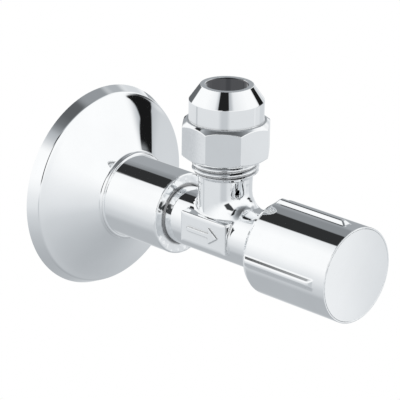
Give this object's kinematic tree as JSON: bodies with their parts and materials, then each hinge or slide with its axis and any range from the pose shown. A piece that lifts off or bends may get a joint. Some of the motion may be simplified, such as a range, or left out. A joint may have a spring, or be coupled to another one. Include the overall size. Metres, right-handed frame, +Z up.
{
  "type": "angle stop valve",
  "caption": "Wall-mounted angle stop valve with sliding rosette, round ribbed handle and upward compression outlet for a supply tube.",
  "frame": {"origin": "where the valve axis meets the wall face", "axes": "+Y into the wall along the valve axis, +Z up along the outlet, +X to the right seen from the room"},
  "size_m": [0.0536, 0.103, 0.0643],
  "materials": {
    "valve_body": "bright chrome plate over brass, plated outside and bare in the bores",
    "inlet_seal_ring": "white sealing plastic",
    "wall_rosette": "bright chrome plate on pressed sheet",
    "rosette_grip_ring": "dark moulded plastic",
    "ferrule": "turned bare brass",
    "compression_nut": "bright chrome plate",
    "headpart_body": "turned bare brass",
    "headpart_gasket": "red fibre and rubber seal",
    "stem": "turned bare brass",
    "stem_o_rings": "black nitrile rubber",
    "thrust_washer": "white slip plastic",
    "stem_circlip": "spring steel",
    "piston": "turned bare brass",
    "piston_o_ring": "black nitrile rubber",
    "seat_washer": "black valve rubber",
    "disc_washer": "stainless steel",
    "disc_screw": "stainless steel",
    "handle_insert": "dark moulded plastic",
    "handle_shell": "bright chrome plate on cast metal",
    "handle_screw": "zinc-plated steel",
    "handle_front_cap": "bright chrome plate"
  },
  "bodies": {
    "valve": {"valve_body": "valve_body", "inlet_seal_ring": "inlet_seal_ring", "headpart_body": "headpart_body", "headpart_gasket": "headpart_gasket"},
    "rosette": {"wall_rosette": "wall_rosette", "rosette_grip_ring": "rosette_grip_ring"},
    "ferrule": {"ferrule": "ferrule"},
    "nut": {"compression_nut": "compression_nut"},
    "handle": {"stem": "stem", "stem_o_rings": "stem_o_rings", "thrust_washer": "thrust_washer", "stem_circlip": "stem_circlip", "handle_insert": "handle_insert", "handle_shell": "handle_shell", "handle_screw": "handle_screw", "handle_front_cap": "handle_front_cap"},
    "piston": {"piston": "piston", "piston_o_ring": "piston_o_ring", "seat_washer": "seat_washer", "disc_washer": "disc_washer", "disc_screw": "disc_screw"}
  },
  "joints": [
    {"name": "handle_turn", "type": "hinge", "parent": "valve", "child": "handle", "pos_m": [0, -0.074, 0], "axis": [0, -1, 0], "range_deg": [0, 900]},
    {"name": "piston_slide", "type": "slide", "parent": "valve", "child": "piston", "axis": [0, -1, 0], "range_m": [0, 0.00501]},
    {"name": "rosette_slide", "type": "slide", "parent": "valve", "child": "rosette", "axis": [0, -1, 0], "range_m": [0, 0.015]},
    {"name": "ferrule_lift", "type": "slide", "parent": "valve", "child": "ferrule", "axis": [0, 0, 1], "range_m": [0, 0.00536]},
    {"name": "nut_turn", "type": "hinge", "parent": "ferrule", "child": "nut", "pos_m": [0, -0.0438, 0.028], "axis": [0, 0, 1], "range_deg": [0, 1440]}
  ],
  "couplings": [
    {"joint": "piston_slide", "follows": "handle_turn", "m_per_rad": 0.00031831},
    {"joint": "ferrule_lift", "follows": "nut_turn", "m_per_rad": 0.00021279}
  ]
}
